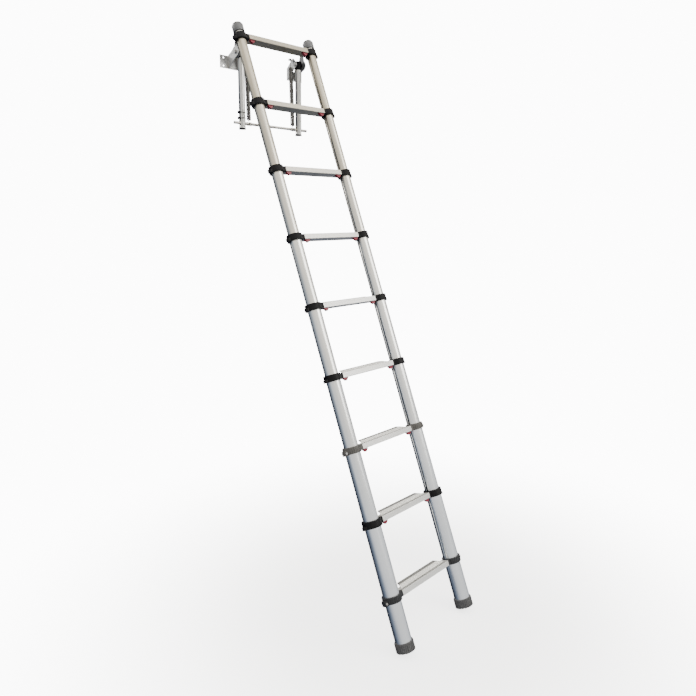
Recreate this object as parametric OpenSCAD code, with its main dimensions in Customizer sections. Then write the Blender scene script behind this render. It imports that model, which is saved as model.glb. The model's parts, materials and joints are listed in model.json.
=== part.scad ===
// Telescoping loft ladder, shown down and extended.
// The origin is the centre of the rectangle of four bracket screws, on the
// timber face that the brackets are screwed to. +Z is up, +X runs along the
// treads to the climber's right and -Y faces the person climbing.

/* [Ladder] */
// Distance from one tread to the next, measured along the rails
pitch = 290; // [284:1:300]
// Distance between the centre lines of the two rails
rail_spacing = 384; // [380:1:392]
// Angle between the rails and the vertical when in use
lean = 22.69; // [20:0.01:23]
// Length of rail below the centre of the lowest tread
foot_drop = 200; // [160:1:230]

/* [Tubes] */
// Outside diameter of the lowest and widest tube
tube_od = 66; // [65:0.1:66.5]
// Drop in outside diameter from one section to the next one up
tube_step = 3.6; // [3.5:0.05:3.6]
// Wall thickness of every rail tube
tube_wall = 1.3; // [1.2:0.05:1.3]
// Length of tube that stays inside the section below when extended
tube_overlap = 60; // [50:1:75]

/* [Treads] */
// Height of the tread's front face
tread_h = 22; // [21:0.5:23]
// Depth of the tread's closed box, square to the rails
tread_box = 38; // [37:0.5:39]
// How far the rear lip of the tread stands behind its box
tread_lip = 17; // [12:0.5:17]
// Angle by which the rear strip of a tread falls away from level
rear_fall = 12; // [8:1:14]
// Wall thickness of the tread extrusion
tread_wall = 2; // [1.6:0.1:2.2]

/* [Release buttons] */
// Travel of a thumb button
button_travel = 6; // [4:0.5:6]
// Radius of the locking pin
pin_r = 3.5; // [3:0.1:3.5]

/* [Hinge and arms] */
// Distance from the timber face to the hinge axis
hinge_gap = 57; // [55:1:60]
// Height of the hinge axis above the centre of the screws
hinge_z = 36; // [34:1:38]
// Distance from the rail centre line back to the hinge axis
hinge_back = 61.64; // [61:0.01:64]
// Distance from the top tread's centre down the rail to the hinge axis
hinge_drop = 23; // [22:0.1:25]
// Distance between the centre lines of the swing arms
arm_spacing = 316; // [314:1:318]
// Outside diameter of the swing arm tubes
arm_od = 28; // [26:0.5:28]
// Distance from the hinge axis to the lower end of an arm tube
arm_len = 305; // [280:1:320]
// Distance from the hinge axis to the cross rod
rod_drop = 285; // [265:1:290]
// Diameter of the cross rod
rod_d = 12; // [10:0.5:12]

/* [Brackets] */
// Sheet thickness of the folded brackets
sheet = 3; // [2.5:0.5:3]
// Height of each bracket's base plate
plate_h = 52; // [48:1:52]
// Distance between the left and right screw holes
screw_span_x = 416; // [412:1:418]
// Distance between the upper and lower screw holes
screw_span_z = 32; // [28:1:34]
// Radius of a screw hole
screw_r = 3.25; // [2.5:0.05:3.5]

/* [Hidden] */
$fn = 64;
fit = 0.05;                            // running clearance of a shaft in its hole
top_tread = 9;
rail_x = rail_spacing / 2;
arm_x = arm_spacing / 2;
spring_x = arm_x - 35;
inner_cheek_x = arm_x - 21;            // inboard face of a bracket's inner cheek
outer_cheek_x = rail_x - 9;            // inboard face of its outer cheek
hinge_plate_x = rail_x - 15;           // inboard face of a hinge plate

black = [0.07, 0.07, 0.08];
bolt_grey = [0.62, 0.62, 0.64];

// Outside radius of a section's tube; the top spigot counts as a ninth section
function tube_r(section) = (tube_od - tube_step * (section - 1)) / 2;
function tread_z(tread) = -(top_tread - tread) * pitch;
// Section that carries a tread; section 1 carries both tread 1 and tread 2
function host(tread) = max(1, tread - 1);

// ---- frames ---------------------------------------------------------------

module on_side(side) {
  if (side > 0) children();
  else mirror([1, 0, 0]) children();
}
module sides() {
  on_side(1) children();
  on_side(-1) children();
}
module at_hinge() { translate([0, -hinge_gap, hinge_z]) children(); }
// Ladder frame: origin at the top tread's centre, local Z up the rails
module ladder() {
  at_hinge() rotate([-lean, 0, 0]) translate([0, -hinge_back, hinge_drop]) children();
}
// Centre line of a rail at the height of a tread; local +X points outboard
module rail(tread, side) {
  ladder() translate([0, 0, tread_z(tread)]) on_side(side)
    translate([rail_x, 0, 0]) children();
}
module rails(tread) {
  rail(tread, 1) children();
  rail(tread, -1) children();
}

// ---- bars and slabs between two stations on an axis -----------------------

module rod_x(r, x0, x1) {
  translate([x0, 0, 0]) rotate([0, 90, 0]) cylinder(r = r, h = x1 - x0);
}
module rod_y(r, y0, y1) {
  translate([0, y1, 0]) rotate([90, 0, 0]) cylinder(r = r, h = y1 - y0);
}
module rod_z(r, z0, z1) {
  translate([0, 0, z0]) cylinder(r = r, h = z1 - z0);
}
// A profile in Y and Z, drawn out along X
module slab_x(x0, x1) {
  translate([x0, 0, 0]) rotate([90, 0, 90]) linear_extrude(x1 - x0) children();
}
// A profile in X and Z, drawn out along Y
module slab_y(y0, y1) {
  translate([0, y1, 0]) rotate([90, 0, 0]) linear_extrude(y1 - y0) children();
}
// A profile in X and Y, drawn out along Z
module slab_z(z0, z1) {
  translate([0, 0, z0]) linear_extrude(z1 - z0) children();
}

// ---- rails ----------------------------------------------------------------

tube_top = 12;          // top of a tube above the centre of its upper tread
sole = 6;               // thickness of a foot under its tube
pin_gap = 0.1;          // radial gap round a pin in its own tube and collar
lock_gap = 0.4;         // radial gap round a pin in the tube it locks
spigot_r = tube_r(top_tread);
spigot_bore_r = spigot_r - 1.5;
spigot_top = 56;
spigot_bottom = -45;

// Hole for a locking pin through the inboard wall of a tube
module pin_hole(radius, gap) { rod_x(pin_r + gap, -radius - 2, -radius + 6); }

// One pair of rail tubes. Each has a pin hole near its top, in line with its
// own tread, and a locking hole near its bottom for the section below.
module tube_pair(section) {
  radius = tube_r(section);
  bottom = -pitch - (section == 1 ? foot_drop - sole : tube_overlap);
  color([0.78, 0.79, 0.80]) rails(section + 1) difference() {
    rod_z(radius, bottom, tube_top);
    rod_z(radius - tube_wall, bottom - 1, tube_top + 1);
    pin_hole(radius, pin_gap);
    if (section > 1) translate([0, 0, -pitch]) pin_hole(radius, lock_gap);
  }
}
module section_1_tubes() { tube_pair(1); }
module section_2_tubes() { tube_pair(2); }
module section_3_tubes() { tube_pair(3); }
module section_4_tubes() { tube_pair(4); }
module section_5_tubes() { tube_pair(5); }
module section_6_tubes() { tube_pair(6); }
module section_7_tubes() { tube_pair(7); }
module section_8_tubes() { tube_pair(8); }

module top_spigots() {
  color([0.72, 0.73, 0.74]) rails(top_tread) difference() {
    rod_z(spigot_r, spigot_bottom, spigot_top);
    rod_z(spigot_bore_r, spigot_bottom - 1, spigot_top + 1);
    pin_hole(spigot_r, lock_gap);
  }
}

// Each cap is a rim, a smaller crown and a plug in the spigot's bore
module top_caps() {
  color(black) rails(top_tread) {
    rod_z(spigot_r + 1, spigot_top + fit, spigot_top + fit + 3);
    rod_z(spigot_r - 1, spigot_top + 2, spigot_top + 4.6);
    rod_z(spigot_bore_r - fit, spigot_top - 12, spigot_top + 1);
  }
}

// ---- treads ---------------------------------------------------------------

// The top is square to the rails as far back as ramp_y, level in use from
// there to ridge_y, then falls to the rear.
half_h = tread_h / 2;
front_y = -20;
box_back_y = front_y + tread_box;
lip_y = box_back_y + tread_lip;
ramp_y = -4;
ridge_y = box_back_y - 1;
level_slope = tan(lean);
rear_slope = tan(lean - rear_fall);
pad_len = 12;           // collar pad, from the tube to the end of the tread
// Buttons, measured inboard from the tube's surface
button_reach = 40;      // inboard end of the neck and the pin
neck = 10;              // neck's size in X and Y
neck_y = -15;           // front of the neck
// Front edge of each fine groove
fine_grooves = [-17, -14.6, -12.2, -9.8, -1.4, 1.6, 4.6, 7.6, 10.6, 13.6,
                19.4, 22.4, 25.4, 28.4];

function top_z(y) = half_h + max(0, min(y, ridge_y) - ramp_y) * level_slope
                    + max(0, y - ridge_y) * rear_slope;

// Cutter in Y and Z that passes out of both ends of a tread
module through_cut(half_len) { slab_x(-half_len - 1, half_len + 1) children(); }

module groove(half_len, front, width, depth) {
  back = front + width;
  through_cut(half_len) polygon([
    [front, top_z(front) - depth], [back, top_z(back) - depth],
    [back, top_z(back) + 2], [front, top_z(front) + 2]]);
}

module tread_outline() {
  polygon([
    // underside and back of the box
    [front_y + 1.2, -half_h], [box_back_y - 1, -half_h],
    [box_back_y, -half_h + 1], [box_back_y, top_z(box_back_y) - 4.5],
    // rear lip
    [lip_y - 2.5, top_z(lip_y) - 4.2], [lip_y - 0.7, top_z(lip_y) - 3.4],
    [lip_y, top_z(lip_y) - 2], [lip_y - 0.8, top_z(lip_y - 0.8)],
    // top and front
    [ridge_y, top_z(ridge_y)], [ramp_y, half_h],
    [front_y + 1.6, half_h], [front_y + 0.4, half_h - 0.3],
    [front_y, half_h - 1.4], [front_y, -half_h + 1.2]]);
}

module tread_bar(tread) {
  radius = tube_r(host(tread));
  half_len = rail_x - (radius + pad_len + 0.1);
  hollow_back = box_back_y - tread_wall;
  ramp_hollow = ramp_y + 8;
  color([0.80, 0.81, 0.80]) ladder() translate([0, 0, tread_z(tread)]) difference() {
    slab_x(-half_len, half_len) tread_outline();
    // hollow box
    through_cut(half_len) polygon([
      [front_y + tread_wall, -half_h + tread_wall], [hollow_back, -half_h + tread_wall],
      [hollow_back, half_h - tread_wall], [front_y + tread_wall, half_h - tread_wall]]);
    // second chamber under the ramp
    through_cut(half_len) polygon([
      [ramp_hollow, half_h + 0.2], [hollow_back, half_h + 0.2],
      [hollow_back, top_z(hollow_back) - tread_wall],
      [ramp_hollow, top_z(ramp_hollow) - tread_wall]]);
    // one wide groove in front of the ramp's foot line and fine ones all over
    groove(half_len, front = -6.2, width = 1.6, depth = 1);
    for (y = fine_grooves) groove(half_len, front = y, width = 0.7, depth = 0.5);
    // ramp and rear lip are shorter than the box, with slanted ends
    sides() slab_z(half_h, half_h + 40) polygon([
      [half_len - 10, ramp_y - 0.2], [half_len + 2, ramp_y - 0.2],
      [half_len + 2, box_back_y + 25], [half_len - 36, box_back_y + 25],
      [half_len - 33, lip_y], [half_len - 26, ridge_y]]);
    // slots for the necks of the thumb buttons
    if (tread > 1) sides()
      translate([rail_x - (radius + button_reach + 1 + button_travel),
                 neck_y - 0.5, -half_h - 1])
        cube([neck + 1.6 + button_travel, neck + 1, tread_wall + 2]);
  }
}
module tread_1() { tread_bar(1); }
module tread_2() { tread_bar(2); }
module tread_3() { tread_bar(3); }
module tread_4() { tread_bar(4); }
module tread_5() { tread_bar(5); }
module tread_6() { tread_bar(6); }
module tread_7() { tread_bar(7); }
module tread_8() { tread_bar(8); }
module tread_9() { tread_bar(9); }

// ---- collars --------------------------------------------------------------

// Cross screw through a banded collar's lug
module at_lug_screw(radius) { translate([radius + 9.5, 0, -5]) children(); }

// Flared skirt and outboard ear of a moulded collar
module collar_skirt(radius) {
  rod_z(radius + 7.4, -14, -8);
  slab_z(-14, -1) polygon([
    [0, -17], [radius + 11, -9.5], [radius + 17, -6], [radius + 18, -3],
    [radius + 18, 3], [radius + 17, 6], [radius + 11, 9.5], [0, 17]]);
}
// Outboard lug of a banded collar, and upright ribs round its front and back
module collar_lug(radius) {
  slab_z(-15, 5) polygon([
    [0, -15], [radius + 4.6, -10.5], [radius + 14.4, -10.5], [radius + 16, -8],
    [radius + 16, 8], [radius + 14.4, 10.5], [radius + 4.6, 10.5], [0, 15]]);
  for (start = [30, 210], i = [0 : 10])
    rotate([0, 0, start + 12 * i]) translate([radius + 3, -1.6, -12])
      cube([2.9, 3.2, 23]);
}
// Pad that closes the end of the tread
module collar_pad(radius) {
  slab_x(-(radius + pad_len), 0) polygon([
    [front_y, -half_h + 1], [front_y + 1, -half_h],
    [box_back_y - 1, -half_h], [box_back_y, -half_h + 1],
    [box_back_y, half_h - 1.5], [box_back_y - 1.5, half_h - 0.4],
    [front_y + 2, half_h - 0.4], [front_y, half_h - 1.5]]);
}

// A collar clamps the end of a tube, guides the tube above through its lip,
// and carries the tread on a tongue. It is either moulded or banded.
module collar(tread, banded) {
  radius = tube_r(host(tread));
  tongue_len = 28;
  difference() {
    union() {
      rod_z(radius + (banded ? 5 : 6.2), -13, tube_top);
      if (tread > 1)
        rod_z(radius + (banded ? 3.6 : 4.6), tube_top - 1, tube_top + 1.6);
      if (banded) collar_lug(radius);
      else collar_skirt(radius);
      // small outboard nose near the top
      slab_z(6, tube_top)
        polygon([[0, -9], [radius + 8.5, -5], [radius + 8.5, 5], [0, 9]]);
      collar_pad(radius);
      // tongue inside the tread
      translate([-(radius + tongue_len), -14, -7]) cube([tongue_len, 27, 14]);
    }
    // seat on this section's tube, and the guide bore above it
    if (tread > 1) {
      rod_z(radius + fit, -20, tube_top + fit);
      rod_z(tube_r(tread) + 0.4, 10, 40);
      rod_x(pin_r + pin_gap, -(radius + 30), 0);
    } else {
      rod_z(radius + fit, -20, 40);
    }
    if (banded) at_lug_screw(radius) rod_y(2.6, -20, 20);
  }
}
module moulded_pair(tread) { color(black) rails(tread) collar(tread, banded = false); }
module banded_pair(tread) { rails(tread) collar(tread, banded = true); }

module collars_1() { color([0.30, 0.31, 0.32]) banded_pair(1); }
module collars_2() { moulded_pair(2); }
module collars_3() { color([0.42, 0.42, 0.42]) banded_pair(3); }
module collars_4() { moulded_pair(4); }
module collars_5() { moulded_pair(5); }
module collars_6() { moulded_pair(6); }
module collars_7() { moulded_pair(7); }
module collars_8() { moulded_pair(8); }
module collars_9() { moulded_pair(9); }

// Screws that draw the lugs together: shank, cross-slotted head and hex nut
module lug_screws(tread) {
  color([0.6, 0.6, 0.62]) rails(tread) at_lug_screw(tube_r(host(tread)))
  rotate([90, 0, 0]) {
    rod_z(2.5, -14, 14);
    difference() {
      rod_z(4.6, 10.6, 13.8);
      translate([-3.2, -0.7, 12.4]) cube([6.4, 1.4, 2]);
      translate([-0.7, -3.2, 12.4]) cube([1.4, 6.4, 2]);
    }
    rod_z(4.6, -13.9, -10.6, $fn = 6);
  }
}
module collar_screws_1() { lug_screws(1); }
module collar_screws_3() { lug_screws(3); }

// ---- release buttons ------------------------------------------------------

// Thumb button: slider and neck inside the tread, V-shaped tab below it, and
// the locking pin, whose tip is level with the bore of its own tube.
module button(tread, side) {
  radius = tube_r(host(tread));
  neck_x = -(radius + button_reach);
  tab_top = -half_h - 0.4;
  tab_edge = -half_h - 3.6;
  tab_tip = -half_h - 12.6;
  color([0.60, 0.08, 0.15]) rail(tread, side) {
    rod_x(pin_r, neck_x, -(radius - tube_wall));
    translate([neck_x - 6, -9, -8.5]) cube([16, 17.5, 16.5]);
    translate([neck_x, neck_y, -half_h - 0.8]) cube([neck, neck, 5]);
    slab_y(neck_y, neck_y + neck) polygon([
      [neck_x + 25, tab_top], [neck_x + 25, tab_edge],
      [neck_x + 15, tab_tip], [neck_x + 10, tab_tip],
      [neck_x, tab_edge], [neck_x, tab_top]]);
  }
}
module button_2_left() { button(2, -1); }
module button_2_right() { button(2, 1); }
module button_3_left() { button(3, -1); }
module button_3_right() { button(3, 1); }
module button_4_left() { button(4, -1); }
module button_4_right() { button(4, 1); }
module button_5_left() { button(5, -1); }
module button_5_right() { button(5, 1); }
module button_6_left() { button(6, -1); }
module button_6_right() { button(6, 1); }
module button_7_left() { button(7, -1); }
module button_7_right() { button(7, 1); }
module button_8_left() { button(8, -1); }
module button_8_right() { button(8, 1); }
module button_9_left() { button(9, -1); }
module button_9_right() { button(9, 1); }

// ---- feet -----------------------------------------------------------------

// Ribbed cups on the lower ends of the rails
module feet() {
  radius = tube_r(1);
  color([0.25, 0.26, 0.27]) rails(1) translate([0, 0, -foot_drop]) difference() {
    union() {
      rod_z(radius + 3.6, 0, 36);
      for (a = [0 : 11.25 : 359])
        rotate([0, 0, a]) translate([radius + 2, -1.7, 0]) cube([3, 3.4, 33.5]);
    }
    // shallow grooves across the sole
    for (y = [-22, -10, 10, 22]) translate([-50, y - 1.5, -1]) cube([100, 3, 2.5]);
    rod_z(radius + fit, sole - fit, sole - fit + 60);
  }
}

// ---- hinge end of the ladder ----------------------------------------------

shoe_bottom = 22;
shoe_bolt_r = 3;
hinge_bolt_r = 5;
hinge_plate_t = 3;

module at_shoe_bolts() { for (z = [28, 38]) translate([0, 30, z]) children(); }

// Ring round each spigot with a block behind it
module hinge_shoes() {
  color([0.45, 0.46, 0.47]) rails(top_tread) difference() {
    union() {
      rod_z(spigot_r + 5.5, shoe_bottom, shoe_bottom + 30);
      translate([-11.9, 8, shoe_bottom]) cube([10, 28, 22]);
    }
    rod_z(spigot_r + fit, shoe_bottom - 2, shoe_bottom + 38);
    at_shoe_bolts() rod_x(shoe_bolt_r + fit, -20, 0);
  }
}
module hinge_plates() {
  axis_y = hinge_back;
  axis_z = -hinge_drop;
  outer_x = hinge_plate_x + hinge_plate_t;
  color([0.55, 0.56, 0.57]) ladder() sides() difference() {
    union() {
      slab_x(hinge_plate_x, outer_x) polygon([
        [23, 18.5], [23, 44], [36, 44],
        [axis_y + 18, axis_z + 12], [axis_y - 19, axis_z - 11], [34, 12]]);
      translate([0, axis_y, axis_z]) rod_x(25, hinge_plate_x, outer_x);
    }
    translate([0, axis_y, axis_z])
      rod_x(hinge_bolt_r + fit, hinge_plate_x - 1, outer_x + 1);
    at_shoe_bolts() rod_x(shoe_bolt_r + fit, hinge_plate_x - 1, outer_x + 1);
  }
}
// Shank, slotted inboard head and outboard hex nut
module shoe_bolts() {
  color(bolt_grey) rails(top_tread) at_shoe_bolts() {
    rod_x(shoe_bolt_r, -19, 2.4);
    difference() {
      rod_x(4.4, -19, -15.02);
      translate([-19.5, -0.7, -5]) cube([1.6, 1.4, 10]);
    }
    rod_x(4.6, -1.85, 1.75, $fn = 6);
  }
}

// ---- swing arms -----------------------------------------------------------

arm_r = arm_od / 2;
arm_bore_r = arm_r - 1.5;
arm_top = -22;          // top of an arm tube, from the hinge axis
rod_r = rod_d / 2;
anchor = [0, 12, 18];   // spring pin's line, from the hinge axis
anchor_r = 4;

module at_arm() { translate([arm_x, 0, 0]) children(); }

module swing_arm_tubes() {
  color([0.76, 0.77, 0.77]) at_hinge() sides() at_arm() difference() {
    rod_z(arm_r, -arm_len, arm_top);
    rod_z(arm_bore_r, -arm_len - 1, -1);
    translate([0, 0, -rod_drop]) rod_x(rod_r + fit, -20, 20);
  }
}
// Sleeve, plug and outboard boss round the hinge bolt
module arm_top_fittings() {
  color(black) at_hinge() sides() difference() {
    union() {
      at_arm() rod_z(arm_r + 1.5, arm_top + fit, arm_top + fit + 36);
      at_arm() rod_z(arm_bore_r - fit, arm_top - 23, arm_top + 1);
      rod_x(9, arm_x, hinge_plate_x - 0.1);
    }
    rod_x(hinge_bolt_r + fit, arm_x - 30, arm_x + 30);
  }
}
module arm_end_caps() {
  color(black) at_hinge() sides() at_arm() {
    rod_z(arm_r + 1.25, -arm_len - 6, -arm_len - fit);
    rod_z(arm_bore_r - fit, -arm_len - 1, -arm_len + 11);
  }
}
// Two rings on the left arm, each with a block outboard
module arm_clips() {
  color(black) at_hinge() for (z = [-241, -265]) translate([-arm_x, 0, z]) difference() {
    union() {
      rod_z(arm_r + 1.5, -1.5, 1.5);
      translate([-21, -5, -5]) cube([9, 10, 10]);
    }
    rod_z(arm_r + fit, -10, 10);
  }
}
module cross_rod() {
  color([0.70, 0.70, 0.70]) at_hinge() translate([0, 0, -rod_drop]) {
    rod_x(rod_r, -arm_x - 42, arm_x + 47);
    // collars either side of each spring eye
    sides() for (x = [spring_x - 11, spring_x + 8]) rod_x(rod_r + 2, x, x + 3);
  }
}
// Tension springs, as the plain cylinders their coils fill
module balance_springs() {
  tilt = atan2(-anchor[1], anchor[2] + rod_drop);
  color([0.62, 0.62, 0.60]) at_hinge() sides()
    translate([spring_x, 0, -rod_drop]) rotate([tilt, 0, 0])
      rod_z(10, 9.5, rod_drop - 42.5);
}

// ---- brackets -------------------------------------------------------------

// Folded bracket: base plate on the timber, an outer cheek for the hinge bolt
// and an inner cheek for the hinge bolt and the spring pin. Screws go through
// the part of the base outboard of the cheeks.
module bracket(side) {
  inner_end = inner_cheek_x + sheet;
  outer_end = outer_cheek_x + sheet;
  base_low = -hinge_z - plate_h / 2;
  base_high = base_low + plate_h;
  base_y = hinge_gap - sheet;          // front face of the base
  fold_y = hinge_gap - 1;              // back edge of the cheeks, in the base
  color([0.66, 0.67, 0.68]) at_hinge() on_side(side) difference() {
    union() {
      translate([inner_cheek_x, base_y, base_low])
        cube([screw_span_x / 2 + 18 - inner_cheek_x, sheet, plate_h]);
      rod_x(22, outer_cheek_x, outer_end);
      slab_x(outer_cheek_x, outer_end)
        polygon([[4, 19], [fold_y, base_high], [fold_y, base_low], [-13, -15]]);
      rod_x(14, inner_cheek_x, inner_end);
      translate(anchor) rod_x(9, inner_cheek_x, inner_end);
      slab_x(inner_cheek_x, inner_end) polygon([
        [-12, 7], [4, 22], [17, 25.5],
        [fold_y, base_high], [fold_y, base_low], [-6, -12.6]]);
    }
    rod_x(hinge_bolt_r + fit, inner_cheek_x - 1, outer_end + 1);
    // relief for the hinge plate when the arms are up
    translate([outer_cheek_x - 10, base_y - 1, base_high - 9])
      cube([10, sheet + 2, 10]);
    translate(anchor) rod_x(anchor_r + fit, inner_cheek_x - 1, inner_end + 1);
    for (z = [-screw_span_z / 2, screw_span_z / 2])
      translate([screw_span_x / 2, 0, -hinge_z + z])
        rod_y(screw_r, base_y - 1, hinge_gap + 1);
  }
}
module bracket_left() { bracket(-1); }
module bracket_right() { bracket(1); }

// Shank with a hexagon at each end
module hinge_bolts() {
  outer_end = outer_cheek_x + sheet;
  color(bolt_grey) at_hinge() sides() {
    rod_x(hinge_bolt_r, inner_cheek_x - 6, outer_end + 1);
    rod_x(9, outer_end + fit, outer_end + fit + 6, $fn = 6);
    rod_x(9, inner_cheek_x - fit - 5, inner_cheek_x - fit, $fn = 6);
  }
}
// Shank, flange against the inner cheek and a head at the inboard end
module spring_anchor_pins() {
  color(bolt_grey) at_hinge() sides() translate(anchor) {
    rod_x(anchor_r, spring_x - 7, inner_cheek_x + sheet + 1.2);
    rod_x(6.5, inner_cheek_x - fit - 2, inner_cheek_x - fit);
    rod_x(5.5, spring_x - 8.5, spring_x - 7);
  }
}

// ---- assembly -------------------------------------------------------------

bracket_left();
bracket_right();
spring_anchor_pins();
hinge_bolts();
swing_arm_tubes();
arm_top_fittings();
arm_end_caps();
arm_clips();
cross_rod();
balance_springs();
top_caps();
hinge_plates();
hinge_shoes();
shoe_bolts();
top_spigots();
section_1_tubes();
section_2_tubes();
section_3_tubes();
section_4_tubes();
section_5_tubes();
section_6_tubes();
section_7_tubes();
section_8_tubes();
tread_1();
tread_2();
tread_3();
tread_4();
tread_5();
tread_6();
tread_7();
tread_8();
tread_9();
collars_1();
collars_2();
collars_3();
collars_4();
collars_5();
collars_6();
collars_7();
collars_8();
collars_9();
button_2_left();
button_2_right();
button_3_left();
button_3_right();
button_4_left();
button_4_right();
button_5_left();
button_5_right();
button_6_left();
button_6_right();
button_7_left();
button_7_right();
button_8_left();
button_8_right();
button_9_left();
button_9_right();
feet();
collar_screws_1();
collar_screws_3();
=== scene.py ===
"""Looks for a leaning ladder: eight rail sections, nine treads, and swing arms with two springs.

Metres, +Z up. X runs across the ladder, -Y is its front and +Y its rear. The rails lean
back by LEAN, so their tops lie further to the rear than their feet. The numbers of the
sections, treads and collars run from the bottom up.
"""
import json
import math

import bpy
from mathutils import Matrix, Vector


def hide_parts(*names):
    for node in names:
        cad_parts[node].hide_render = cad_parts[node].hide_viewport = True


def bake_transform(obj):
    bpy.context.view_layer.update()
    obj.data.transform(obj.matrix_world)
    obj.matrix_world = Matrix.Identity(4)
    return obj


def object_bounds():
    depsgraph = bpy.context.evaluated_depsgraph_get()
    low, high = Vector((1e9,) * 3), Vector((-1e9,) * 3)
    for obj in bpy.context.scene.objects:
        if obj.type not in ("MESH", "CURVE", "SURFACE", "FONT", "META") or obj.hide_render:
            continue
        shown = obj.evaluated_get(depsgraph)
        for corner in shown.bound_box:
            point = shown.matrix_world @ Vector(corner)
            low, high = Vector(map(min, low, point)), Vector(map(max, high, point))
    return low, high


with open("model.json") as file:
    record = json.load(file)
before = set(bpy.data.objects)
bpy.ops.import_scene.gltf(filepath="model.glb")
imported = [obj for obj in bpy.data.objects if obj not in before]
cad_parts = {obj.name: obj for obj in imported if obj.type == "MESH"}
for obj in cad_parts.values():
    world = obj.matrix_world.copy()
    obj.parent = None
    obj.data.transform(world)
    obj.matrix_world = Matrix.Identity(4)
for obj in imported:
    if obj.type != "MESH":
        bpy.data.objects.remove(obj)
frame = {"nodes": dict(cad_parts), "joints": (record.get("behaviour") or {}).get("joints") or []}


def corners(bounds):
    return [[float(x) for x in bounds[0]], [float(x) for x in bounds[1]]]


CAD_BOX = corners(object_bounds())
NODES = frame["nodes"]
HINGE = Vector(next(j for j in frame["joints"] if j["name"] == "arms_swing")["pos_m"])

LEAN = math.radians(22.69)
UP = Vector((0, math.sin(LEAN), math.cos(LEAN)))      # up the rails
BACK = Vector((0, math.cos(LEAN), -math.sin(LEAN)))   # square to them, to the rear

SECTIONS = 8
TREADS = 9
TREAD_PITCH = 0.290
RAIL_Y = HINGE.dot(BACK) - 0.06164      # rail centre line, along BACK
TOP_TREAD = HINGE.dot(UP) + 0.023       # centre of the top tread, along UP

# ------------------------------------------------------------- node graphs


class Graph:
    """Short hand for building a node tree. An input takes a socket or a plain value."""

    def __init__(self, owner):
        owner.use_nodes = True
        self.tree = owner.node_tree
        self.tree.nodes.clear()

    def feed(self, socket, value):
        if isinstance(value, bpy.types.NodeSocket):
            self.tree.links.new(value, socket)
        elif isinstance(value, tuple) and socket.type == "RGBA":
            socket.default_value = (*value, 1)
        else:
            socket.default_value = value

    def add(self, kind, inputs=None, **settings):
        node = self.tree.nodes.new(kind)
        for key, value in settings.items():
            setattr(node, key, value)
        for key, value in (inputs or {}).items():
            self.feed(node.inputs[key], value)
        return node

    def calc(self, operation, a, b, clamp=False):
        return self.add("ShaderNodeMath", {0: a, 1: b}, operation=operation,
                        use_clamp=clamp).outputs[0]

    def ramp(self, factor, stops, interpolation="LINEAR"):
        """stops are (position, grey level or colour)."""
        node = self.add("ShaderNodeValToRGB", {0: factor})
        node.color_ramp.interpolation = interpolation
        elements = node.color_ramp.elements
        while len(elements) < len(stops):
            elements.new(0.5)
        for element, (position, color) in zip(elements, stops):
            element.position = position
            element.color = (*color, 1) if isinstance(color, tuple) else (color,) * 3 + (1,)
        return node.outputs[0]

    def mix(self, factor, a, b, blend="MIX"):
        return self.add("ShaderNodeMix", {0: factor, 6: a, 7: b},
                        data_type="RGBA", blend_type=blend).outputs[2]


class Surface(Graph):
    """A material with one Principled shader."""

    INPUTS = {"color": "Base Color", "metal": "Metallic", "rough": "Roughness",
              "coat": "Coat Weight", "coat_rough": "Coat Roughness",
              "aniso": "Anisotropic", "spec": "Specular IOR Level"}

    def __init__(self, name):
        self.material = bpy.data.materials.new(name)
        super().__init__(self.material)
        self.output = self.add("ShaderNodeOutputMaterial")
        self.shader = self.add("ShaderNodeBsdfPrincipled")
        self.feed(self.output.inputs["Surface"], self.shader.outputs["BSDF"])

    def put(self, **values):
        for key, value in values.items():
            self.feed(self.shader.inputs[self.INPUTS[key]], value)

    def dot(self, vector, direction):
        return self.add("ShaderNodeVectorMath", {0: vector, 1: tuple(direction)},
                        operation="DOT_PRODUCT").outputs["Value"]

    def noise(self, vector, scale=1.0, detail=3, rough=0.5):
        return self.add("ShaderNodeTexNoise", {
            "Scale": scale, "Detail": detail, "Roughness": rough, "Vector": vector}).outputs[0]

    def coords(self, scale=(1, 1, 1), turn=(0, 0, 0)):
        """The piece's own coordinates, turned and then stretched."""
        own = self.add("ShaderNodeTexCoord").outputs["Object"]
        turned = self.add("ShaderNodeMapping", {"Rotation": turn, "Vector": own},
                          vector_type="POINT").outputs[0]
        return self.add("ShaderNodeVectorMath", {0: turned, 1: scale},
                        operation="MULTIPLY").outputs[0]

    def edges(self, start, full):
        """0 on flat faces, rising to 1 on sharp edges."""
        geometry = self.add("ShaderNodeNewGeometry")
        return self.ramp(geometry.outputs["Pointiness"], [(start, 0.0), (full, 1.0)])

    def bump(self, height, strength, distance):
        node = self.add("ShaderNodeBump", {
            "Strength": strength, "Distance": distance, "Height": height})
        self.feed(self.shader.inputs["Normal"], node.outputs["Normal"])


def scaled(color, factor, lift=0.0):
    return tuple(min(1, v * factor + lift) for v in color)


# --------------------------------------------------------------- materials

# Strips of painted shade on a tread's top, for faces that turn away from the light, measured
# from its centre (heights along UP, edges along BACK)
STRIP_HEIGHT = 0.0098
FRONT_STRIP_EDGE = -0.0042
REAR_STRIP_EDGE = 0.0168
STRIP_SHARPNESS = 5000      # 1 / width of a strip's soft edge
# how dark the painted shade on each strip is
FRONT_STRIP_PAINTED_SHADE = 0.42
REAR_STRIP_PAINTED_SHADE = 0.26


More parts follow.
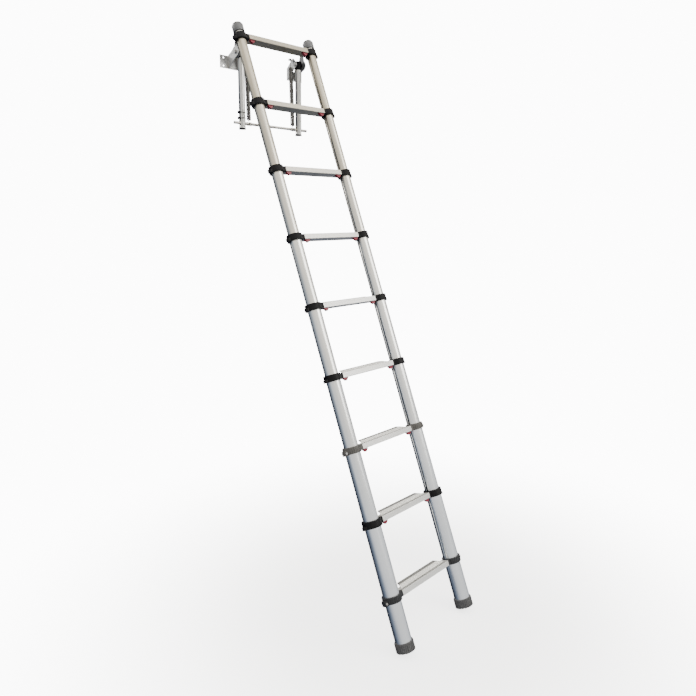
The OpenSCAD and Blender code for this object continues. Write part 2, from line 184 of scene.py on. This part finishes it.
def tread_painted_shade(surface, color, base, centre):
    """Paint shade on the front and rear strips of a tread's top; centre is its place along UP.
    """
    own = surface.add("ShaderNodeTexCoord").outputs["Object"]
    calc = surface.calc
    y = calc("SUBTRACT", surface.dot(own, BACK), RAIL_Y)
    z = calc("SUBTRACT", surface.dot(own, UP), centre)

    def mask(a, b):
        return calc("MULTIPLY", calc("SUBTRACT", a, b), STRIP_SHARPNESS, clamp=True)

    top = mask(z, STRIP_HEIGHT)
    front = mask(FRONT_STRIP_EDGE, y)
    rear = mask(y, REAR_STRIP_EDGE)
    # darken each strip: painted shade
    for strip, shade in ((front, FRONT_STRIP_PAINTED_SHADE), (rear, REAR_STRIP_PAINTED_SHADE)):
        color = surface.mix(calc("MULTIPLY", top, strip), color, scaled(base, shade))
    return color


def aluminium(name, base, along, rough, grain=1.0, tread=None, metal=0.92):
    """Satin anodised extrusion. along is "rail", "z" or "x": which way the die lines run.
    tread is the place of a tread's centre along UP, which gives its top its strips of painted
    shade."""
    surface = Surface(name)
    calc = surface.calc
    turn = (LEAN, 0, 0) if along == "rail" else (0, 0, 0)

    def streaks(across, lengthwise, rough):
        scale = (lengthwise, across, across) if along == "x" else (across, across, lengthwise)
        return surface.noise(surface.coords(scale, turn), detail=2, rough=rough)

    lines = streaks(across=900, lengthwise=5, rough=0.6)
    bands = streaks(across=160, lengthwise=1.5, rough=0.5)
    cloud = surface.noise(surface.coords((6, 6, 3), turn), detail=4, rough=0.6)
    smear = surface.noise(surface.coords((38, 38, 22), turn), detail=5, rough=0.65)
    # darker clouds, then lighter bands
    color = surface.mix(surface.ramp(cloud, [(0.3, 0.0), (0.75, 1.0)]), base,
                        scaled(base, 0.86))
    color = surface.mix(surface.ramp(bands, [(0.35, 0.0), (0.8, 0.35)]), color,
                        scaled(base, 1.12))
    # painted shade on the strips of the tread's top
    if tread is not None:
        color = tread_painted_shade(surface, color, base, tread)
    # smears and die lines vary the roughness
    roughness = calc("ADD", calc("MULTIPLY", smear, 0.16), rough - 0.08)
    roughness = calc("ADD", roughness, calc("MULTIPLY", lines, 0.10))
    surface.put(color=color, metal=metal, rough=roughness, aniso=0.35)
    surface.bump(calc("ADD", lines, calc("MULTIPLY", bands, 1.5)),
                 strength=0.10 * grain, distance=0.0002)
    return surface.material


def plastic(name, base, rough=0.45, grain=0.35, coat=0.0, worn=1.5, scale=1.0,
            dusty=0.08, spec=0.5, rubbed=0.03):
    """Moulded plastic: fine grain, faint flow marks and rubbed edges.
    worn multiplies the colour of a rubbed edge and rubbed is added to it."""
    surface = Surface(name)
    calc = surface.calc
    own = surface.coords()
    speck = surface.noise(own, scale=2600 * scale, detail=2, rough=0.6)
    flow = surface.noise(surface.coords((60, 60, 18), turn=(0.3, 0.1, 0.2)),
                         detail=4, rough=0.6)
    # lighter flow marks
    color = surface.mix(surface.ramp(flow, [(0.3, 0.0), (0.8, 1.0)]), base,
                        scaled(base, 1.35, lift=0.004))
    # edges rubbed in patches
    edge = surface.edges(start=0.52, full=0.62)
    patches = surface.ramp(surface.noise(own, scale=140, detail=4, rough=0.7),
                           [(0.45, 0.1), (0.62, 0.8)])
    color = surface.mix(calc("MULTIPLY", edge, patches), color, scaled(base, worn, lift=rubbed))
    # grey-brown dust
    dust = surface.ramp(surface.noise(own, scale=45, detail=5, rough=0.7),
                        [(0.55, 0.0), (0.8, dusty)])
    color = surface.mix(dust, color, (0.42, 0.40, 0.37))
    surface.put(color=color, rough=calc("ADD", calc("MULTIPLY", flow, 0.22), rough - 0.11),
                coat=coat, coat_rough=0.25, spec=spec)
    surface.bump(calc("ADD", speck, calc("MULTIPLY", flow, 0.3)),
                 strength=grain, distance=0.00018)
    return surface.material


def steel(name, base, rough, spangle=0.0, lines_along_x=False):
    """Zinc-plated or bare steel. spangle is the strength of its crystal patches."""
    surface = Surface(name)
    calc = surface.calc
    own = surface.coords()
    cloud = surface.noise(own, scale=55, detail=5, rough=0.65)
    color = surface.mix(surface.ramp(cloud, [(0.35, 0.0), (0.75, 1.0)]), base,
                        scaled(base, 0.7))
    roughness = calc("ADD", calc("MULTIPLY", cloud, 0.25), rough - 0.12)
    if lines_along_x:
        height = surface.noise(surface.coords((3, 1500, 1500)), detail=2, rough=0.5)
    else:
        height = surface.noise(own, scale=1400, detail=2, rough=0.5)
    if spangle:
        crystals = surface.add("ShaderNodeTexVoronoi", {"Scale": 170, "Vector": own})
        cell = crystals.outputs["Color"]
        shade = surface.ramp(cell, [(0.0, 0.82), (1.0, 1.1)])
        color = surface.mix(spangle, color, shade, "MULTIPLY")
        roughness = calc("ADD", roughness, calc("MULTIPLY", cell, 0.12))
    # yellowish tint in patches
    tint = surface.ramp(surface.noise(own, scale=20, detail=3, rough=0.6),
                        [(0.5, 0.0), (0.8, 0.35)])
    yellowed = (base[0] * 0.98, base[1] * 0.90, base[2] * 0.72)
    surface.put(color=surface.mix(tint, color, yellowed), metal=1.0, rough=roughness)
    surface.bump(height, strength=0.12, distance=0.0002)
    return surface.material


def paint(name, base):
    """Painted metal with orange peel and edges chipped to bare metal."""
    surface = Surface(name)
    calc = surface.calc
    own = surface.coords()
    peel = surface.noise(own, scale=420, detail=3, rough=0.5)
    cloud = surface.noise(own, scale=30, detail=4, rough=0.6)
    color = surface.mix(surface.ramp(cloud, [(0.35, 0.0), (0.75, 1.0)]), base,
                        scaled(base, 0.82))
    edge = surface.edges(start=0.58, full=0.70)
    patches = surface.ramp(surface.noise(own, scale=260, detail=4, rough=0.7),
                           [(0.60, 0.0), (0.68, 0.7)])
    chip = calc("MULTIPLY", edge, patches)
    surface.put(color=surface.mix(chip, color, (0.55, 0.55, 0.56)),
                metal=calc("MULTIPLY", chip, 0.9),
                rough=calc("ADD", calc("MULTIPLY", cloud, 0.2), 0.34),
                coat=0.15, coat_rough=0.3)
    surface.bump(peel, strength=0.10, distance=0.0003)
    return surface.material


# Painted light on the metal up the ladder, bottom, middle and top: one aluminium, coloured cool
# and bright at the bottom and warm and darker at the top for the tint and strength of the light
COOL = (0.92, 0.95, 0.975)
NEUTRAL = (0.85, 0.845, 0.82)
WARM = (0.47, 0.43, 0.345)
IVORY = (0.90, 0.895, 0.86)     # bottom colour of the treads
MIDDLE = 0.45                   # where the neutral colour falls, 0 bottom to 1 top


def painted_light_color(height, bottom=COOL):
    """Colour of the painted light on the metal; height is 0 at the bottom of the ladder, 1 at
    the top.
    """
    if height < MIDDLE:
        low, high, step = bottom, NEUTRAL, height / MIDDLE
    else:
        low, high, step = NEUTRAL, WARM, (height - MIDDLE) / (1 - MIDDLE)
    step = step * step * (3 - 2 * step)
    return tuple(a + (b - a) * step for a, b in zip(low, high))


MATERIALS = {}      # by name of piece


def dress(material, *pieces):
    for piece in pieces:
        MATERIALS[piece] = material


# each rail section is the same aluminium, coloured by height with painted light
for i in range(1, SECTIONS + 1):
    dress(aluminium(f"rail_painted_light_{i}", painted_light_color((i - 1) / (SECTIONS - 1)), "rail",
                    rough=0.25, metal=1.0),
          f"section_{i}_tubes")
dress(aluminium("spigot_finish", (0.62, 0.61, 0.57), "rail", rough=0.33), "top_spigots")
# each tread is coloured by height with painted light and has painted shade on its top strips
for i in range(1, TREADS + 1):
    color = scaled(painted_light_color((i - 1) / (TREADS - 1), bottom=IVORY), 1.02)
    dress(aluminium(f"tread_painted_light_{i}", color, "x", rough=0.42, grain=0.8,
                    tread=TOP_TREAD - (TREADS - i) * TREAD_PITCH),
          f"tread_{i}")

dress(plastic("black_plastic", (0.0035, 0.0035, 0.0042), rough=0.42, grain=0.30,
              dusty=0.008, spec=0.10, rubbed=0.004),
      *(f"collars_{i}" for i in (2, 4, 5, 6, 7, 8, 9)),
      "arm_top_fittings", "arm_end_caps", "arm_clips", "top_caps")
dress(plastic("dark_grey_plastic", (0.018, 0.019, 0.021), spec=0.25, dusty=0.03), "collars_1")
dress(plastic("grey_plastic", (0.075, 0.072, 0.067), worn=1.3, spec=0.3, dusty=0.05),
      "collars_3")
dress(plastic("red_plastic", (0.17, 0.004, 0.018), rough=0.30, grain=0.12, coat=0.12,
              worn=1.2, dusty=0.02),
      *(name for name in NODES if name.startswith("button_")))
dress(plastic("foot_rubber", (0.060, 0.060, 0.062), rough=0.62, grain=0.8, worn=1.6,
              scale=0.6, spec=0.3, dusty=0.04),
      "feet")

dress(steel("zinc_plate", (0.62, 0.62, 0.61), rough=0.38, spangle=0.5),
      "bracket_left", "bracket_right")
dress(steel("bright_zinc", (0.60, 0.59, 0.57), rough=0.28),
      "spring_anchor_pins", "hinge_bolts", "shoe_bolts", "collar_screws_1", "collar_screws_3")
dress(steel("rod_steel", (0.66, 0.63, 0.57), rough=0.30, lines_along_x=True), "cross_rod")
dress(aluminium("arm_finish", (0.70, 0.69, 0.65), "z", rough=0.34), "swing_arm_tubes")
dress(paint("grey_paint", (0.17, 0.175, 0.18)), "hinge_plates")
dress(paint("cast_grey", (0.11, 0.112, 0.115)), "hinge_shoes")
dress(steel("spring_steel", (0.21, 0.206, 0.195), rough=0.36), "balance_springs")

# --------------------------------------------------------------- CAD pieces

WELD_DISTANCE = 0.00002
# Edge rounding that the CAD leaves out, so edges catch the light: name prefix, width
ROUNDING = {
    "tread": 0.0005, "collars": 0.0007, "button": 0.0006, "feet": 0.0006,
    "bracket": 0.0005, "hinge_plates": 0.0005, "hinge_shoes": 0.0008,
    "arm_clips": 0.0006, "arm_top": 0.0010, "arm_end": 0.0010, "top_caps": 0.0008,
    "hinge_bolts": 0.0004, "shoe_bolts": 0.0003, "collar_screws": 0.0003,
    "cross_rod": 0.0006, "spring_anchor": 0.0004}

for name, piece in NODES.items():
    piece.data.materials.clear()
    piece.data.materials.append(MATERIALS[name])
    weld = piece.modifiers.new("merge", "WELD")
    weld.merge_threshold = WELD_DISTANCE
    for prefix, width in ROUNDING.items():
        if name.startswith(prefix):
            bevel = piece.modifiers.new("edges", "BEVEL")
            bevel.width = width
            bevel.segments = 2
            bevel.limit_method = "ANGLE"
            bevel.angle_limit = math.radians(32)
            bevel.use_clamp_overlap = True


def new_object(name, data):
    made = bpy.data.objects.new(name, data)
    bpy.context.scene.collection.objects.link(made)
    return made


def mesh_object(name, verts, faces):
    mesh = bpy.data.meshes.new(name)
    mesh.from_pydata(verts, [], faces)
    mesh.update()
    return new_object(name, mesh)


# ------------------------------------------------------------ coil springs

SPRING_X = 0.123            # each side of the middle
ROD_DROP = 0.285            # rod below the hinge
PIN_BACK = 0.012            # pin behind the hinge
PIN_RISE = 0.018            # pin above the hinge
WIRE_RADIUS = 0.0014
WIRE_SIDES = 8
COIL_RADIUS = 0.0086
COIL_PITCH = 0.0032
COIL_STEPS = 26             # per turn
ROD_TO_COIL = 0.0135
COIL_TO_PIN = 0.0300
NECK_LENGTH = 0.0245        # straight wire between the coil and the pin loop
NECK_STEPS = 12
ROD_LOOP_RADIUS = 0.0072
PIN_LOOP_RADIUS = 0.0052
LOOP_SWEEP = 300            # degrees
LOOP_POINTS = 40


def on_circle(centre, first, second, radius, angle):
    return centre + first * (radius * math.cos(angle)) + second * (radius * math.sin(angle))


def sweep(points, radius, sides, verts, faces):
    """A round wire along points, added to verts and faces."""
    base = len(verts)
    last = len(points) - 1
    tangents = [(points[min(i + 1, last)] - points[max(i - 1, 0)]).normalized()
                for i in range(last + 1)]
    side = tangents[0].orthogonal().normalized()
    for i, (point, tangent) in enumerate(zip(points, tangents)):
        side = (side - tangent * side.dot(tangent)).normalized()
        other = tangent.cross(side)
        for j in range(sides):
            verts.append(tuple(on_circle(point, side, other, radius, 2 * math.pi * j / sides)))
        if i:
            before = base + (i - 1) * sides
            here = base + i * sides
            for j in range(sides):
                k = (j + 1) % sides
                faces.append((before + j, before + k, here + k, here + j))
    faces.append(tuple(base + j for j in reversed(range(sides))))
    faces.append(tuple(base + last * sides + j for j in range(sides)))


def spring_path(x):
    """Centre line of one extension spring, from the loop on the rod to the loop on the pin."""
    rod = Vector((x, HINGE.y, HINGE.z - ROD_DROP))
    pin = Vector((x, HINGE.y + PIN_BACK, HINGE.z + PIN_RISE))
    axis = (pin - rod).normalized()
    across = Vector((1, 0, 0))
    rear = axis.cross(across).normalized()

    def loop(centre, radius, start_angle):
        return [on_circle(centre, axis, rear, radius,
                          math.radians(start_angle + LOOP_SWEEP * i / (LOOP_POINTS - 1)))
                for i in range(LOOP_POINTS)]

    points = loop(rod, ROD_LOOP_RADIUS, -LOOP_SWEEP)
    start = rod + axis * ROD_TO_COIL
    end = pin - axis * COIL_TO_PIN
    length = (end - start).length
    total = round(length / COIL_PITCH) * COIL_STEPS
    for i in range(total + 1):
        # over its first and last turn the coil eases out from the axis
        ease = min(1.0, i / COIL_STEPS, (total - i) / COIL_STEPS)
        ease = ease * ease * (3 - 2 * ease)
        points.append(on_circle(start + axis * (length * (i / total)), across, rear,
                                COIL_RADIUS * ease, 2 * math.pi * i / COIL_STEPS))
    for i in range(1, NECK_STEPS):
        points.append(end + axis * (NECK_LENGTH * i / NECK_STEPS))
    return points + loop(pin, PIN_LOOP_RADIUS, 180)


verts, faces = [], []
for x in (-SPRING_X, SPRING_X):
    sweep(spring_path(x), WIRE_RADIUS, WIRE_SIDES, verts, faces)
springs = mesh_object("coil_springs", verts, faces)
for face in springs.data.polygons:
    face.use_smooth = True
springs.data.materials.append(MATERIALS["balance_springs"])
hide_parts("balance_springs")
# the springs stretch between the arms and the brackets, over a short zone at the hinge
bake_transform(springs)

# ------------------------------------------------------------------- floor

WHITE = 12.0                # strength of the white backdrop and floor
FLOOR_RADIUS = 40.0
FLOOR_SIDES = 64
FLOOR_GAP = 0.001           # floor below the lowest point
FADE_CENTRE = (0, -0.95)
FADE_REACH = 6.0            # distance that the fade's ramp covers

low = min(CAD_BOX[0][2], CAD_BOX[1][2])


def floor_paper():
    """Paper near the ladder that catches shadows, fading out to glowing white."""
    surface = Surface("floor_paper")
    geometry = surface.add("ShaderNodeNewGeometry")
    offset = surface.add("ShaderNodeVectorMath",
                         {0: geometry.outputs["Position"], 1: (*FADE_CENTRE, low)},
                         operation="SUBTRACT")
    distance = surface.add("ShaderNodeVectorMath", {0: offset.outputs["Vector"]},
                           operation="LENGTH")
    fade = surface.ramp(surface.calc("MULTIPLY", distance.outputs["Value"], 1 / FADE_REACH),
                        [(0.06, 0.25), (0.34, 1.0)], "EASE")
    surface.put(color=(0.93, 0.93, 0.93), rough=0.9, spec=0.1)
    glow = surface.add("ShaderNodeEmission", {"Color": (1, 1, 1), "Strength": WHITE})
    mixed = surface.add("ShaderNodeMixShader", {
        0: fade, 1: surface.shader.outputs[0], 2: glow.outputs[0]})
    surface.feed(surface.output.inputs["Surface"], mixed.outputs[0])
    return surface.material


rim = []
for i in range(FLOOR_SIDES):
    angle = 2 * math.pi * i / FLOOR_SIDES
    rim.append((FLOOR_RADIUS * math.cos(angle), FLOOR_RADIUS * math.sin(angle),
                low - FLOOR_GAP))
floor = mesh_object("floor", rim, [tuple(range(FLOOR_SIDES))])
floor.data.materials.append(floor_paper())
floor.visible_glossy = False
floor.visible_diffuse = False

# ------------------------------------------------------------------ camera

# The camera's own axes: its right, and backwards out of the view
camera_right = Vector((0.699840, -0.714193, 0.012337)).normalized()
camera_back = Vector((-0.701181, -0.683589, 0.202609))
camera_back = (camera_back - camera_right * camera_back.dot(camera_right)).normalized()
camera_up = camera_back.cross(camera_right)

camera = new_object("camera", bpy.data.cameras.new("camera"))
pose = Matrix((camera_right, camera_up, camera_back)).transposed().to_4x4()
pose.translation = Vector((-1.81208, -2.37303, -0.59592))
camera.matrix_world = pose
camera.data.sensor_width = 36
camera.data.lens = 32.043
camera.data.shift_x = -0.0122
camera.data.shift_y = -0.0187
camera.data.clip_end = 200
bpy.context.scene.camera = camera

# ------------------------------------------------------------------- world

# Light round the horizon. 0.5 is the camera's side, 0.25 the view's left and 0.75 its
# right; 0 and 1 meet straight behind the ladder.
AROUND = [
    (0.00, (0.12, 0.13, 0.15)), (0.06, (0.04, 0.05, 0.07)), (0.18, (0.03, 0.04, 0.06)),
    (0.25, (0.30, 0.35, 0.42)), (0.33, (0.45, 0.52, 0.60)), (0.41, (1.10, 1.18, 1.28)),
    (0.49, (4.60, 4.66, 4.70)), (0.60, (6.20, 6.18, 6.10)), (0.73, (4.60, 4.54, 4.40)),
    (0.80, (1.80, 1.77, 1.72)), (0.87, (0.45, 0.45, 0.45)), (0.93, (0.40, 0.41, 0.43)),
    (1.00, (1.10, 1.13, 1.20))]
# Factor by height: 0 straight down, 0.5 the horizon, 1 straight up
BY_HEIGHT = [
    (0.00, (0.24, 0.27, 0.33)), (0.32, (0.28, 0.31, 0.38)), (0.43, (0.85, 0.87, 0.90)),
    (0.51, (2.10, 2.10, 2.10)), (0.57, (2.10, 2.10, 2.09)), (0.65, (1.05, 1.04, 1.01)),
    (1.00, (0.85, 0.83, 0.78))]
OVERHEAD = (1.50, 1.43, 1.30)   # the same soft box in every direction


def studio():
    """White to the camera, a soft studio to everything else."""
    world = bpy.data.worlds.new("studio")
    bpy.context.scene.world = world
    graph = Graph(world)
    direction = graph.add("ShaderNodeTexCoord").outputs["Generated"]
    # turn the sky so that the seam of the radial gradient is behind the ladder
    heading = math.atan2(-camera_back.y, -camera_back.x)
    turned = graph.add("ShaderNodeMapping",
                       {"Rotation": (0, 0, math.pi - heading), "Vector": direction},
                       vector_type="POINT")
    gradient = graph.add("ShaderNodeTexGradient", {0: turned.outputs[0]},
                         gradient_type="RADIAL")
    around = graph.ramp(gradient.outputs["Fac"], AROUND, "B_SPLINE")
    z = graph.add("ShaderNodeSeparateXYZ", {0: direction}).outputs["Z"]
    height = graph.add("ShaderNodeMapRange", {"Value": z, "From Min": -1, "From Max": 1})
    by_height = graph.ramp(height.outputs[0], BY_HEIGHT, "B_SPLINE")
    walls = graph.mix(1, around, by_height, "MULTIPLY")
    overhead = graph.add("ShaderNodeMapRange", {"Value": z, "From Min": 0.20, "From Max": 0.44},
                         interpolation_type="SMOOTHSTEP")
    light = graph.add("ShaderNodeBackground", {
        "Color": graph.mix(overhead.outputs[0], walls, OVERHEAD), "Strength": 1.0})
    backdrop = graph.add("ShaderNodeBackground", {"Color": (1, 1, 1), "Strength": WHITE})
    path = graph.add("ShaderNodeLightPath")
    mixed = graph.add("ShaderNodeMixShader", {
        0: path.outputs["Is Camera Ray"], 1: light.outputs[0], 2: backdrop.outputs[0]})
    graph.add("ShaderNodeOutputWorld", {"Surface": mixed.outputs[0]})


studio()

# ------------------------------------------------------------------ lights


def area(name, place, target, size, power, color=(1, 1, 1)):
    data = bpy.data.lights.new(name, "AREA")
    data.shape = "RECTANGLE"
    data.size, data.size_y = size
    data.energy = power
    data.color = color
    light = new_object(name, data)
    light.location = place
    aim = Vector(target) - Vector(place)
    light.rotation_euler = aim.to_track_quat("-Z", "Y").to_euler()


area("key_soft", place=(1.6, -3.6, 1.4), target=(0, -0.6, -1.1), size=(2.2, 3.2),
     power=120, color=(1.0, 0.99, 0.96))
area("top_soft", place=(-0.4, -1.2, 2.6), target=(0, -0.6, -1.2), size=(3.0, 3.0), power=40)
area("rear_soft", place=(-1.9, 3.0, 2.2), target=(0, -0.6, -1.1), size=(2.4, 2.4), power=90)
